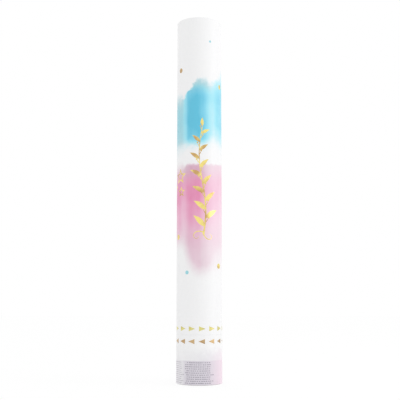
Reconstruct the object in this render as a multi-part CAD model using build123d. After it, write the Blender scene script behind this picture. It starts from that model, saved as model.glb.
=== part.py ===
from build123d import *
import math
import os

# Twist-to-fire confetti popper. A card barrel holds an upturned air bottle, a pusher and paper
# confetti under a pressed-in lid. A short card handle turns on a plastic core in the barrel's foot.
# Turning the handle draws a sealed plunger out of the bottle's nozzle by a helical cam, and the air
# runs up round the bottle and drives the pusher, the confetti and the lid out of the muzzle.
# Millimetres. +Z runs up the barrel, the origin is the centre of the foot, and -Y is the front.

# Whole popper
OVERALL_LENGTH = 400.0
BODY_DIAMETER = 49.5
HANDLE_LENGTH = 51.8
SPLIT_GAP = 0.3
TWIST_ANGLE = 90.0
PLUNGER_TRAVEL = 10.0

# Fits and cuts
GLUE_GAP = 0.05
RUNNING_GAP = 0.12
SLOT_GAP = 0.25
END_PLAY = 0.1
CHARGE_GAP = 0.3
CUT_OVERRUN = 1.0

# Card tubes and their printed paper wraps
TUBE_WALL = 2.0
TUBE_EDGE = 0.4
WRAP_THICKNESS = 0.25
WRAP_SETBACK = 0.3
WRAP_SEAM = 0.4

# Base cap, a moulded plug in the handle's foot
CAP_RECESS = 1.5
CAP_FLOOR = 2.0
CAP_SKIRT_HEIGHT = 8.0
CAP_SKIRT_WALL = 1.6
CAP_EDGE = 0.6
CAP_DISH_RADIUS = 15.5
CAP_DISH_DEPTH = 0.7
CAP_BOSS_RADIUS = 4.0
CAP_RIB_COUNT = 8
CAP_RIB_WIDTH = 1.4
CAP_RIB_HEIGHT = 2.2

# Twist core, fixed in the barrel: journal below the floor, valve chamber and socket above it
CORE_FLOOR = 3.0
CORE_SKIRT_HEIGHT = 26.0
CORE_SKIRT_WALL = 1.6
JOURNAL_BORE_RADIUS = 9.2
JOURNAL_WALL = 2.8
FOOT_CLEARANCE = 0.8
CHAMBER_HEIGHT = 11.0
SOCKET_LEDGE = 1.35
SOCKET_DEPTH = 14.0
SOCKET_WALL = 3.0
FIN_COUNT = 6
FIN_WIDTH = 2.0
FIN_HEIGHT = 19.0
PORT_WIDTH = 5.0
PORT_MARGIN = 1.4

# Rotor, glued in the handle: outer skirt, web, ribs and the cam tube round the journal
CAM_WALL = 3.4
CAM_TAIL = 4.0
ROTOR_WEB = 3.0
ROTOR_SKIRT_WALL = 1.8
ROTOR_SKIRT_GAP = 3.0
ROTOR_RIB_COUNT = 6
ROTOR_RIB_WIDTH = 1.8
ROTOR_RIB_DROP = 24.0
WASHER_THICKNESS = 0.8
WASHER_WIDTH = 4.0
CLIP_THICKNESS = 1.2
CLIP_DEPTH = 1.0
CLIP_STAND = 2.4
CLIP_SETBACK = 7.0
CLIP_MOUTH = 15.0

# Plunger, its seal, cross pin, return spring and spring plug
PIN_RADIUS = 2.0
PIN_EDGE = 0.4
PLUNGER_BODY_LENGTH = 14.0
PLUNGER_ROD_RADIUS = 3.4
PLUNGER_EDGE = 0.6
STOPPER_LENGTH = 7.0
SEAL_SECTION_RADIUS = 0.8
SEAL_GAP = 0.04
SPRING_WIRE_RADIUS = 0.5
SPRING_INSET = 2.6
SPRING_END_TURNS = 1
SPRING_OPEN_TURNS = 3
SPRING_END_GAP = 0.5
SPRING_RECESS = 3.0
PLUG_FLANGE = 1.5
PLUG_SETBACK = 0.8
PLUG_SPIGOT = 3.0
PLUG_BOSS = 2.0

# Air bottle and its nozzle
BOTTLE_LENGTH = 140.0
BOTTLE_AIR_GAP = 4.4
BOTTLE_WALL = 1.2
BOTTLE_KNUCKLE = 6.0
BOTTLE_CROWN_RISE = 3.0
NECK_RADIUS = 8.5
NECK_LENGTH = 16.0
SHOULDER_HEIGHT = 15.0
NOZZLE_BORE_RADIUS = 5.0
NOZZLE_FLANGE = 2.0
NOZZLE_LENGTH = 15.0
NOZZLE_LEAD = 0.5
SPACER_HEIGHT = 10.0
SPACER_SETBACK = 14.0
SPACER_RIM = 1.4
SPACER_FLUTE_COUNT = 6
SPACER_FLUTE_WIDTH = 9.0

# Charge: pusher disc, foam, confetti and the lid in the muzzle
PUSHER_STANDOFF = 5.0
PUSHER_DISC = 1.8
FOAM_HEIGHT = 14.0
FOAM_EDGE = 1.0
CONFETTI_DIAMETER = 24.0
CONFETTI_PITCH = 4.5
CONFETTI_GAP = 0.1
CONFETTI_STEP_ANGLE = 137.5
LID_RECESS = 9.0
LID_SHEET = 0.6
LID_SETBACK = 2.0
LID_GAP = 0.1
LID_BEND = 0.6
LID_BEAD_RADIUS = 14.0
LID_BEAD_WIDTH = 2.4
LID_BEAD_HEIGHT = 0.9

# Radii that follow
body_radius = BODY_DIAMETER / 2
tube_radius = body_radius - WRAP_THICKNESS - GLUE_GAP
bore_radius = tube_radius - TUBE_WALL
glued_radius = bore_radius - GLUE_GAP
journal_radius = JOURNAL_BORE_RADIUS + JOURNAL_WALL
cam_bore_radius = journal_radius + RUNNING_GAP
cam_radius = cam_bore_radius + CAM_WALL
socket_radius = NECK_RADIUS + GLUE_GAP
chamber_radius = socket_radius - SOCKET_LEDGE
tower_radius = socket_radius + SOCKET_WALL
plunger_radius = JOURNAL_BORE_RADIUS - RUNNING_GAP
stopper_radius = NOZZLE_BORE_RADIUS - RUNNING_GAP
pin_reach = cam_radius - RUNNING_GAP
slot_radius = PIN_RADIUS + SLOT_GAP
spring_radius = JOURNAL_BORE_RADIUS - SPRING_INSET
bottle_radius = bore_radius - BOTTLE_AIR_GAP
neck_bore_radius = NECK_RADIUS - BOTTLE_WALL

# Heights that follow
barrel_foot = HANDLE_LENGTH + SPLIT_GAP
cap_floor_top = CAP_RECESS + CAP_FLOOR
cap_top = CAP_RECESS + CAP_SKIRT_HEIGHT
journal_foot = cap_floor_top + CAP_RIB_HEIGHT + FOOT_CLEARANCE + PLUG_FLANGE
clip_foot = journal_foot + CLIP_SETBACK
cam_foot = clip_foot + CLIP_THICKNESS + END_PLAY
washer_foot = barrel_foot - WASHER_THICKNESS
rotor_top = washer_foot - END_PLAY
rotor_skirt_foot = cap_top + ROTOR_SKIRT_GAP
core_floor_top = barrel_foot + CORE_FLOOR
chamber_top = core_floor_top + CHAMBER_HEIGHT
tower_top = chamber_top + SOCKET_DEPTH
pin_low = cam_foot + CAM_TAIL + slot_radius
pin_high = pin_low + PLUNGER_TRAVEL
plunger_foot = pin_high - PLUNGER_BODY_LENGTH / 2
plunger_shoulder = pin_high + PLUNGER_BODY_LENGTH / 2
stopper_top = chamber_top + STOPPER_LENGTH
spring_seat = journal_foot + PLUG_SPIGOT
bottle_top = chamber_top + BOTTLE_LENGTH
pusher_foot = bottle_top + PUSHER_STANDOFF
foam_foot = pusher_foot + PUSHER_DISC
confetti_foot = foam_foot + FOAM_HEIGHT
lid_top = OVERALL_LENGTH - LID_RECESS
lid_foot = lid_top - LID_SHEET


def disc(radius, foot, top):
    """A solid round slab between two heights."""
    return Pos(0, 0, foot) * extrude(Circle(radius), top - foot)


def ring(outer, inner, foot, top):
    """A plain tube between two heights."""
    return Pos(0, 0, foot) * extrude(Circle(outer) - Circle(inner), top - foot)


def turned(points):
    """A solid of revolution about Z from (radius, height) corners."""
    return revolve(Plane.XZ * make_face(Polyline(*points, close=True)), Axis.Z)


def blade(inner, outer, width, foot, top):
    """An upright plate that stands along +X from one radius to another."""
    return Pos((inner + outer) / 2, 0, (foot + top) / 2) * Box(outer - inner, width, top - foot)


def around(shape, count, first_angle=0):
    """Copies of a shape set evenly round Z."""
    return [Rot(0, 0, first_angle + 360 * i / count) * shape for i in range(count)]


def radial_rod(radius, inner, outer, height):
    """A round rod along +X, from one radius to another, at a height."""
    return Pos(inner, 0, height) * Rot(0, 90, 0) * extrude(Circle(radius), outer - inner)


# Card and paper


def card_tube(foot, top, plain_end):
    """A card tube with its free cut edges eased. The plain end meets the other tube."""
    tube = ring(tube_radius, bore_radius, foot, top)
    free_edges = tube.edges().filter_by(GeomType.CIRCLE).group_by(Axis.Z)[0 if plain_end == top else -1]
    return chamfer(free_edges, TUBE_EDGE)


def paper_wrap(foot, top):
    """A printed sheet rolled round a tube, with a narrow butt seam down the back."""
    sheet = ring(body_radius, body_radius - WRAP_THICKNESS, foot, top)
    seam = Rot(0, 0, 90) * blade(tube_radius, body_radius + CUT_OVERRUN, WRAP_SEAM,
                                 foot - CUT_OVERRUN, top + CUT_OVERRUN)
    return sheet - seam


# Handle


def base_cap():
    """A moulded plug: skirt, floor, dished underside with a centre boss, and ribs inside."""
    skirt_inner = glued_radius - CAP_SKIRT_WALL
    cap = turned([
        (0, CAP_RECESS), (glued_radius - CAP_EDGE, CAP_RECESS), (glued_radius, CAP_RECESS + CAP_EDGE),
        (glued_radius, cap_top - CAP_EDGE), (glued_radius - CAP_EDGE, cap_top), (skirt_inner, cap_top),
        (skirt_inner, cap_floor_top), (0, cap_floor_top),
    ])
    cap -= ring(CAP_DISH_RADIUS, CAP_BOSS_RADIUS, CAP_RECESS - CUT_OVERRUN, CAP_RECESS + CAP_DISH_DEPTH)
    rib = blade(CAP_BOSS_RADIUS, skirt_inner + CAP_SKIRT_WALL / 2, CAP_RIB_WIDTH,
                cap_floor_top - CAP_FLOOR / 2, cap_floor_top + CAP_RIB_HEIGHT)
    return cap + around(rib, CAP_RIB_COUNT)


def cam_slot():
    """The helical slot that the pin runs in. It falls as it goes round, over the twist."""
    lead = PLUNGER_TRAVEL * 360 / TWIST_ANGLE
    inner, outer = cam_bore_radius - CUT_OVERRUN, cam_radius + CUT_OVERRUN
    middle = (inner + outer) / 2
    path = Helix(lead, PLUNGER_TRAVEL, middle, lefthand=True)
    start = Plane(origin=path @ 0, x_dir=(1, 0, 0), z_dir=path % 0)
    run = sweep(start * Rectangle(outer - inner, 2 * slot_radius), path, is_frenet=True)
    low_end = radial_rod(slot_radius, inner, outer, 0)
    high_end = Rot(0, 0, -TWIST_ANGLE) * radial_rod(slot_radius, inner, outer, PLUNGER_TRAVEL)
    return Pos(0, 0, pin_low) * Rot(0, 0, TWIST_ANGLE) * (run + low_end + high_end)


def cam_rotor():
    """The handle's inside: a cam tube with two helical slots, hung by a web and ribs from a skirt."""
    skirt_inner = glued_radius - ROTOR_SKIRT_WALL
    web_foot = rotor_top - ROTOR_WEB
    cam = ring(cam_radius, cam_bore_radius, cam_foot, rotor_top)
    for slot in around(cam_slot(), 2):
        cam -= slot
    frame = ring(glued_radius, skirt_inner, rotor_skirt_foot, rotor_top)
    frame += ring(glued_radius, cam_radius - CAM_WALL / 2, web_foot, rotor_top)
    rib = blade(cam_radius - GLUE_GAP, skirt_inner + ROTOR_SKIRT_WALL / 2, ROTOR_RIB_WIDTH,
                web_foot - ROTOR_RIB_DROP, rotor_top - ROTOR_WEB / 2)
    half_rib_angle = 180 / ROTOR_RIB_COUNT
    return cam + frame + around(rib, ROTOR_RIB_COUNT, half_rib_angle)


# Barrel's mechanism


def twist_core():
    """The fixed core: journal with two straight pin slots, floor, ported valve chamber, bottle socket."""
    skirt_inner = glued_radius - CORE_SKIRT_WALL
    core = disc(glued_radius, barrel_foot, core_floor_top)
    core += ring(glued_radius, skirt_inner, barrel_foot, barrel_foot + CORE_SKIRT_HEIGHT)
    core += disc(journal_radius, journal_foot, barrel_foot)
    core += disc(tower_radius, core_floor_top, tower_top)
    fin = blade(tower_radius - SOCKET_WALL / 2, skirt_inner + CORE_SKIRT_WALL / 2, FIN_WIDTH,
                core_floor_top - CORE_FLOOR / 2, core_floor_top + FIN_HEIGHT)
    core += around(fin, FIN_COUNT)

    core -= disc(JOURNAL_BORE_RADIUS, journal_foot - CUT_OVERRUN, barrel_foot)
    core -= disc(PLUNGER_ROD_RADIUS + RUNNING_GAP, barrel_foot - CUT_OVERRUN, core_floor_top + CUT_OVERRUN)
    core -= disc(chamber_radius, core_floor_top, chamber_top + CUT_OVERRUN)
    core -= disc(socket_radius, chamber_top, tower_top + CUT_OVERRUN)
    core -= ring(journal_radius + CUT_OVERRUN, journal_radius - CLIP_DEPTH,
                 clip_foot, clip_foot + CLIP_THICKNESS)
    port = blade(0, tower_radius + CUT_OVERRUN, PORT_WIDTH,
                 core_floor_top + PORT_MARGIN, chamber_top - PORT_MARGIN)
    for opening in around(port, FIN_COUNT, 180 / FIN_COUNT):
        core -= opening
    slot_outer = journal_radius + CUT_OVERRUN
    pin_slot = blade(0, slot_outer, 2 * slot_radius, pin_low, pin_high)
    pin_slot += [radial_rod(slot_radius, 0, slot_outer, height) for height in (pin_low, pin_high)]
    for slot in around(pin_slot, 2):
        core -= slot
    return core


def thrust_washer():
    """A fibre ring between the core's floor and the turning rotor."""
    return ring(cam_bore_radius + WASHER_WIDTH, cam_bore_radius, washer_foot, barrel_foot)


def retaining_clip():
    """A spring clip in the journal's groove. It keeps the handle from being pulled off."""
    inner = journal_radius - CLIP_DEPTH + GLUE_GAP
    clip = ring(journal_radius + CLIP_STAND, inner, clip_foot, clip_foot + CLIP_THICKNESS)
    mouth = Rot(0, 0, 90) * blade(0, journal_radius + CLIP_STAND + CUT_OVERRUN, CLIP_MOUTH,
                                  clip_foot - CUT_OVERRUN, cam_foot + CUT_OVERRUN)
    return clip - mouth


def bottle_outline(inset):
    """Half section of the bottle, taken in by an inset: neck, S-shaped shoulder, wall and dished end."""
    foot = chamber_top + NOZZLE_FLANGE
    neck_top = chamber_top + NECK_LENGTH
    shoulder_top = neck_top + SHOULDER_HEIGHT
    middle = Vector((NECK_RADIUS + bottle_radius) / 2, (neck_top + shoulder_top) / 2)
    slant = TangentArc((NECK_RADIUS, neck_top), middle, tangent=(0, 1)) % 1
    middle += Vector(-slant.Y, slant.X) * inset
    neck, body = NECK_RADIUS - inset, bottle_radius - inset
    bend_out = TangentArc((neck, neck_top), middle, tangent=(0, 1))
    bend_back = TangentArc(middle, (body, shoulder_top), tangent=slant)

    dome = BOTTLE_KNUCKLE + BOTTLE_CROWN_RISE
    dome_foot = bottle_top - dome
    knuckle_in = bottle_radius - BOTTLE_KNUCKLE
    crown_radius = (knuckle_in ** 2 + dome ** 2 - BOTTLE_KNUCKLE ** 2) / (2 * BOTTLE_CROWN_RISE)
    reach_share = (crown_radius - inset) / (crown_radius - BOTTLE_KNUCKLE)
    crown_centre = bottle_top - crown_radius
    knuckle_end = (knuckle_in * reach_share, crown_centre + (dome_foot - crown_centre) * reach_share)
    knuckle = TangentArc((body, dome_foot), knuckle_end, tangent=(0, 1))
    crown = TangentArc(knuckle_end, (0, bottle_top - inset), tangent=knuckle % 1)

    neck_side = Polyline((0, bottle_top - inset), (0, foot), (neck, foot), (neck, neck_top))
    wall = Line((body, shoulder_top), (body, dome_foot))
    return Plane.XZ * make_face([neck_side, bend_out, bend_back, wall, knuckle, crown])


def air_bottle():
    """A one-piece drawn bottle with its neck down and a domed end."""
    return revolve(bottle_outline(0) - bottle_outline(BOTTLE_WALL), Axis.Z)


def bottle_nozzle():
    """A turned bush in the neck. Its bore takes the plunger's seal, with a lead-in at the mouth."""
    flange_top = chamber_top + NOZZLE_FLANGE
    barrel = neck_bore_radius - GLUE_GAP
    top = chamber_top + NOZZLE_LENGTH
    return turned([
        (NOZZLE_BORE_RADIUS + NOZZLE_LEAD, chamber_top), (NECK_RADIUS, chamber_top),
        (NECK_RADIUS, flange_top - GLUE_GAP), (barrel, flange_top - GLUE_GAP), (barrel, top),
        (NOZZLE_BORE_RADIUS, top), (NOZZLE_BORE_RADIUS, chamber_top + NOZZLE_LEAD),
    ])


def bottle_spacer():
    """A fluted ring that centres the bottle's upper end and lets the air past."""
    top = bottle_top - SPACER_SETBACK
    foot = top - SPACER_HEIGHT
    inner = bottle_radius + GLUE_GAP
    spacer = ring(glued_radius, inner, foot, top)
    flute = blade(0, glued_radius - SPACER_RIM, SPACER_FLUTE_WIDTH, foot - CUT_OVERRUN, top + CUT_OVERRUN)
    for gap in around(flute, SPACER_FLUTE_COUNT):
        spacer -= gap
    return spacer


# Plunger group


def plunger():
    """The sliding plunger: guided body with a cross hole, rod, and a stopper with its seal's groove."""
    seal_height = chamber_top + STOPPER_LENGTH / 2
    groove = SEAL_SECTION_RADIUS + SEAL_GAP
    groove_floor = NOZZLE_BORE_RADIUS - SEAL_GAP - 2 * groove
    body = turned([
        (0, plunger_foot), (plunger_radius - PLUNGER_EDGE, plunger_foot),
        (plunger_radius, plunger_foot + PLUNGER_EDGE), (plunger_radius, plunger_shoulder - PLUNGER_EDGE),
        (plunger_radius - PLUNGER_EDGE, plunger_shoulder), (PLUNGER_ROD_RADIUS, plunger_shoulder),
        (PLUNGER_ROD_RADIUS, chamber_top), (stopper_radius, chamber_top),
        (stopper_radius, seal_height - groove), (groove_floor, seal_height - groove),
        (groove_floor, seal_height + groove), (stopper_radius, seal_height + groove),
        (stopper_radius, stopper_top - PLUNGER_EDGE), (stopper_radius - PLUNGER_EDGE, stopper_top),
        (0, stopper_top),
    ])
    cross_hole = radial_rod(PIN_RADIUS + GLUE_GAP, -pin_reach, pin_reach, pin_high)
    spring_recess = ring(spring_radius + 2 * SPRING_WIRE_RADIUS,
                         spring_radius - 2 * SPRING_WIRE_RADIUS,
                         plunger_foot - CUT_OVERRUN, plunger_foot + SPRING_RECESS)
    return body - cross_hole - spring_recess


def plunger_seal():
    """The rubber ring that holds the air in the nozzle's bore."""
    middle = NOZZLE_BORE_RADIUS - SEAL_GAP - SEAL_SECTION_RADIUS
    return Pos(0, 0, chamber_top + STOPPER_LENGTH / 2) * Torus(middle, SEAL_SECTION_RADIUS)


def cross_pin():
    """The steel pin through the plunger. Its ends run in the core's and the rotor's slots."""
    pin = radial_rod(PIN_RADIUS, -pin_reach, pin_reach, pin_high)
    return chamfer(pin.edges().filter_by(GeomType.CIRCLE), PIN_EDGE)


def biarc(start, start_way, end, end_way):
    """Two arcs that join two points and keep the ways that the line runs at both."""
    gap, way = end - start, start_way + end_way
    bend = 2 * (1 - start_way.dot(end_way))
    reach = (math.sqrt(gap.dot(way) ** 2 + bend * gap.dot(gap)) - gap.dot(way)) / bend
    near, far = start + start_way * reach, end - end_way * reach
    middle = (near + far) / 2
    return [TangentArc(start, middle, tangent=start_way), TangentArc(middle, end, tangent=far - near)]


def spring_heights():
    """Heights of the wire's centre at each quarter turn: closed end turns, open turns between them."""
    foot = spring_seat + GLUE_GAP + SPRING_WIRE_RADIUS
    top = plunger_foot + SPRING_RECESS - GLUE_GAP - SPRING_WIRE_RADIUS
    end_rise = 2 * SPRING_WIRE_RADIUS + SPRING_END_GAP
    open_rise = (top - foot - 2 * SPRING_END_TURNS * end_rise) / SPRING_OPEN_TURNS
    end_turns = [end_rise] * SPRING_END_TURNS
    heights = [foot]
    for rise in end_turns + [open_rise] * SPRING_OPEN_TURNS + end_turns:
        heights += [heights[-1] + rise * quarter / 4 for quarter in range(1, 5)]
    return heights


def least_gap(path, turns, wire):
    """The nearest that a wound wire comes to itself, measured on points along its line."""
    per_turn = 36
    count = per_turn * turns
    points = [path.position_at(i / count) for i in range(count + 1)]
    near = [(points[i] - points[j]).length
            for i in range(count + 1) for j in range(i + per_turn // 2, count + 1)]
    return min(near) - wire


def plunger_spring():
    """A wire spring between the spring plug and the plunger. It keeps the stopper in the nozzle."""
    heights = spring_heights()
    last = len(heights) - 1
    quarter_arc = math.pi / 2 * spring_radius
    points, ways = [], []
    for i, height in enumerate(heights):
        turned_by = math.pi / 2 * i
        across, along = math.cos(turned_by), math.sin(turned_by)
        below, above = max(i - 1, 0), min(i + 1, last)
        slope = (heights[above] - heights[below]) / ((above - below) * quarter_arc)
        points.append(Vector(spring_radius * across, spring_radius * along, height))
        ways.append(Vector(-along, across, slope).normalized())
    arcs = []
    for i in range(last):
        arcs += biarc(points[i], ways[i], points[i + 1], ways[i + 1])
    path = Wire(arcs)
    print("plunger_spring least gap", round(least_gap(path, last // 4, 2 * SPRING_WIRE_RADIUS), 2), "mm")
    return sweep(Plane(origin=points[0], z_dir=ways[0]) * Circle(SPRING_WIRE_RADIUS), path)


def spring_plug():
    """A flanged plug that closes the journal and seats the spring on its boss."""
    spigot = JOURNAL_BORE_RADIUS - GLUE_GAP
    plug = disc(journal_radius - PLUG_SETBACK, journal_foot - PLUG_FLANGE, journal_foot)
    plug += disc(spigot, journal_foot, spring_seat)
    boss = spring_radius - 2 * SPRING_WIRE_RADIUS
    return plug + disc(boss, spring_seat, spring_seat + PLUG_BOSS)


# Charge


def pusher_disc():
    """A greyboard disc that the air pushes on."""
    return disc(bore_radius - CHARGE_GAP, pusher_foot, foam_foot)


def pusher_foam():
    """A foam plug that wipes the barrel and carries the confetti."""
    foam = disc(bore_radius - CHARGE_GAP, foam_foot, confetti_foot)
    return fillet(foam.edges().filter_by(GeomType.CIRCLE), FOAM_EDGE)


def confetti():
    """Stacks of round tissue confetti, each against the barrel's wall and turned on from the last."""
    count = round((lid_foot - confetti_foot) / CONFETTI_PITCH)
    pitch = (lid_foot - confetti_foot) / count
    radius = CONFETTI_DIAMETER / 2
    offset = bore_radius - CHARGE_GAP - radius
    stack = Pos(offset, 0, 0) * disc(radius, CONFETTI_GAP / 2, pitch - CONFETTI_GAP / 2)
    stacks = [Pos(0, 0, confetti_foot + i * pitch) * Rot(0, 0, i * CONFETTI_STEP_ANGLE) * stack
              for i in range(count)]
    return Compound(children=stacks)


def muzzle_lid():
    """A foil-faced card cup pressed into the muzzle, with a rounded corner and a raised ring."""
    outer = bore_radius - LID_GAP
    skirt_top = OVERALL_LENGTH - LID_SETBACK
    lid = disc(outer, lid_foot, skirt_top)
    lid = fillet(lid.edges().filter_by(GeomType.CIRCLE).group_by(Axis.Z)[0], LID_BEND + LID_SHEET)
    hollow = disc(outer - LID_SHEET, lid_top, skirt_top + CUT_OVERRUN)
    hollow = fillet(hollow.edges().filter_by(GeomType.CIRCLE).group_by(Axis.Z)[0], LID_BEND)
    bead_inner, bead_outer = LID_BEAD_RADIUS - LID_BEAD_WIDTH / 2, LID_BEAD_RADIUS + LID_BEAD_WIDTH / 2
    bead_sides = Polyline((bead_inner, lid_top), (bead_inner, lid_foot), (bead_outer, lid_foot),
                          (bead_outer, lid_top))
    bead_crown = ThreePointArc((bead_outer, lid_top), (LID_BEAD_RADIUS, lid_top + LID_BEAD_HEIGHT),
                               (bead_inner, lid_top))
    bead = revolve(Plane.XZ * make_face([bead_sides, bead_crown]), Axis.Z)
    return lid - hollow + bead


parts = {
    "barrel_tube": card_tube(barrel_foot, OVERALL_LENGTH, barrel_foot),
    "barrel_wrap": paper_wrap(barrel_foot, OVERALL_LENGTH - WRAP_SETBACK),
    "twist_core": twist_core(),
    "thrust_washer": thrust_washer(),
    "retaining_clip": retaining_clip(),
    "spring_plug": spring_plug(),
    "air_bottle": air_bottle(),
    "bottle_nozzle": bottle_nozzle(),
    "bottle_spacer": bottle_spacer(),
    "handle_sleeve": card_tube(0, HANDLE_LENGTH, HANDLE_LENGTH),
    "handle_wrap": paper_wrap(WRAP_SETBACK, HANDLE_LENGTH),
    "cam_rotor": cam_rotor(),
    "base_cap": base_cap(),
    "plunger": plunger(),
    "plunger_seal": plunger_seal(),
    "cross_pin": cross_pin(),
    "plunger_spring": plunger_spring(),
    "pusher_disc": pusher_disc(),
    "pusher_foam": pusher_foam(),
    "confetti": confetti(),
    "muzzle_lid": muzzle_lid(),
}

os.makedirs("parts", exist_ok=True)
for name, shape in parts.items():
    export_step(shape, f"parts/{name}.step")
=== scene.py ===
import random
from math import atan2, ceil, cos, hypot, pi, radians, remainder, sin, sqrt

import bmesh
import bpy
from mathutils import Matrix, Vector, noise


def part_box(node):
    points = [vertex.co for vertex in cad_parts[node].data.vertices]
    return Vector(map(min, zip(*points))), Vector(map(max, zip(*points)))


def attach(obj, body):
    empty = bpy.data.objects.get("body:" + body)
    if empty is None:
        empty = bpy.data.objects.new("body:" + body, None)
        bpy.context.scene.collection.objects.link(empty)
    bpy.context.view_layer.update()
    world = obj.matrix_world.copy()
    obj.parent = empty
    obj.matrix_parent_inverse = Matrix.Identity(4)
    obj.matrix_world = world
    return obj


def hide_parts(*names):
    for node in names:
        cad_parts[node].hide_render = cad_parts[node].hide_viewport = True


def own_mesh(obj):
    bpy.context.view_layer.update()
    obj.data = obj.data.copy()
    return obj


# Looks of a twist confetti popper: a white printed tube that stands on its foot. Metres, +Z up, -Y front.
# Angles round the tube count from the front, positive towards +X.

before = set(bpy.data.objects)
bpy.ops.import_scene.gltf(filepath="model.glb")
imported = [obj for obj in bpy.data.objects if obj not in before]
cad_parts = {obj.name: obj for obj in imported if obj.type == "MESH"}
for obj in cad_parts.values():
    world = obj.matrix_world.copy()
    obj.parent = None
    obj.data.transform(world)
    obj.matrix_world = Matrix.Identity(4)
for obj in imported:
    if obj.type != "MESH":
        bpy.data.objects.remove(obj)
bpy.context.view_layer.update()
scene = bpy.context.scene

MM = 0.001
WELD = 0.0005 * MM
ROUND_STEPS = 240
FULL_TURN = 2 * pi
CORNER_STEPS = 6
SHARP_ANGLE = 35

# Sizes read from the frame
barrel_low, barrel_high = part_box("barrel_wrap")
handle_low, handle_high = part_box("handle_wrap")
tube_low, tube_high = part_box("barrel_tube")
sleeve_low, sleeve_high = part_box("handle_sleeve")
lid_low, lid_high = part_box("muzzle_lid")
cap_low, cap_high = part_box("base_cap")
foam_low, foam_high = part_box("pusher_foam")
heap_low, heap_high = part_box("confetti")
spring_low, spring_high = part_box("plunger_spring")
paper_radius = barrel_high.x
tube_radius = tube_high.x
charge_radius = foam_high.x
popper_height = tube_high.z
split_height = (barrel_low.z + handle_high.z) / 2

# Paper and card
PAPER_THICKNESS = 0.25 * MM
PAPER_SEAM = 0.4 * MM
PAPER_EDGE = 0.06 * MM
PAPER_MEET = 0.03 * MM
CARD_WALL = 2.0 * MM
CARD_EDGE = 0.4 * MM
PLY_COUNT = 5
PLY_GROOVE = 0.12 * MM
PLY_STEP = 0.03 * MM

# Stamped foil and ink
FOIL_PROUD = 0.03 * MM
FOIL_SUNK = 0.02 * MM
FOIL_LAYER = 0.004 * MM
FOIL_LAYERS = 5
FOIL_COLUMN = 0.7 * MM
ARROW_LENGTH = 7.0 * MM
ARROW_WIDTH = 5.2 * MM
ARROW_COUNT = 14
UPPER_ARROWS_ANGLE = radians(-18.2)
LOWER_ARROWS_ANGLE = radians(-19.8)
UPPER_ARROWS_HEIGHT = 58.4 * MM
LOWER_ARROWS_HEIGHT = 45.2 * MM
STAR_POINTS = 5
STAR_TURNS = [FULL_TURN * i / STAR_POINTS for i in range(STAR_POINTS)]
STAR_WAIST = 0.45

# Sprig
SPRIG_FOOT = 158 * MM
SPRIG_TOP = 276 * MM
SPRIG_SWAY = 3.6 * MM
SPRIG_ACROSS = 3.5 * MM
STEM_WIDTH = 1.8 * MM
LEAF_LENGTH = 18 * MM
LEAF_WIDTH = 5.8 * MM
LEAF_COUNT = 12
LEAF_ANGLE = radians(44)
BERRY_RADIUS = 1.3 * MM
STALK_LENGTH = 7.5 * MM
STALK_WIDTH = 0.8 * MM
CURL_WIDTH = 1.3 * MM

# Contents
TISSUE_RADIUS = 12 * MM
TISSUE_THICKNESS = 0.09 * MM
TISSUE_COUNT = 800
TISSUE_BEND = 6 * MM
TISSUE_TURN = radians(137.5)
TISSUE_SHARP = 60
TISSUE_SEED = 11
WIRE_RADIUS = 0.5 * MM
SPRING_TURNS = 5
SPRING_END_RISE = 1.5 * MM


# Tools for shapes and objects


def on_tube(angle, radius, height):
    """A point round the tube."""
    return Vector((radius * sin(angle), -radius * cos(angle), height))


def smooth_step(share):
    share = min(max(share, 0.0), 1.0)
    return share * share * (3 - 2 * share)


def lathe(outline, steps=ROUND_STEPS, seam=0.0, shift=None):
    """A closed (radius, height) outline turned about Z; its side on the axis makes no faces.
    seam is half the angle left open at the back, with capped ends. shift moves each point."""
    rows = steps + 1 if seam else steps
    first, last = -pi + seam, pi - seam
    count = len(outline)
    verts, faces = [], []
    for i in range(rows):
        angle = first + (last - first) * i / steps
        for radius, height in outline:
            if shift:
                radius, height = shift(angle, radius, height)
            verts.append(on_tube(angle, radius, height))
    for i in range(steps):
        here, there = i * count, (i + 1) % rows * count
        for j in range(count):
            k = (j + 1) % count
            if outline[j][0] or outline[k][0]:
                faces.append((here + j, there + j, there + k, here + k))
    if seam:
        faces += [tuple(range(count)), tuple(range(steps * count, rows * count))]
    return verts, faces


def arc(centre, radius, first, last, steps=CORNER_STEPS):
    """Points of a round corner in an outline, angles in degrees."""
    turns = [radians(first + (last - first) * i / steps) for i in range(steps + 1)]
    return [(centre[0] + radius * cos(t), centre[1] + radius * sin(t)) for t in turns]


def joined(shapes):
    """Several (verts, faces) shapes as one."""
    verts, faces = [], []
    for more_verts, more_faces in shapes:
        base = len(verts)
        verts += more_verts
        faces += [tuple(base + i for i in face) for face in more_faces]
    return verts, faces


def rod_faces(rows, sides):
    """Faces of a closed rod whose points go round it, row after row."""
    faces, last = [], (rows - 1) * sides
    for here in range(0, last, sides):
        there = here + sides
        for j in range(sides):
            k = (j + 1) % sides
            faces.append((here + j, here + k, there + k, there + j))
    return faces + [tuple(range(sides)), tuple(range(last, last + sides))]


def in_scene(name, data):
    """Makes an object of a mesh, a lamp or a camera."""
    made = bpy.data.objects.new(name, data)
    scene.collection.objects.link(made)
    return made


def piece(name, shape, stuff, body, stands_for=(), sharp=SHARP_ANGLE):
    """Makes a mesh object, gives it its material and sets it on its body."""
    mesh = bpy.data.meshes.new(name)
    mesh.from_pydata(shape[0], [], shape[1])
    work = bmesh.new()
    work.from_mesh(mesh)
    bmesh.ops.remove_doubles(work, verts=work.verts, dist=WELD)
    bmesh.ops.recalc_face_normals(work, faces=work.faces)
    work.to_mesh(mesh)
    work.free()
    mesh.shade_smooth()
    mesh.set_sharp_from_angle(angle=radians(sharp))
    mesh.materials.append(materials[stuff])
    made = in_scene(name, mesh)
    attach(made, body)
    if stands_for:
        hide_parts(*stands_for)
    return made


# Material tools

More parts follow.
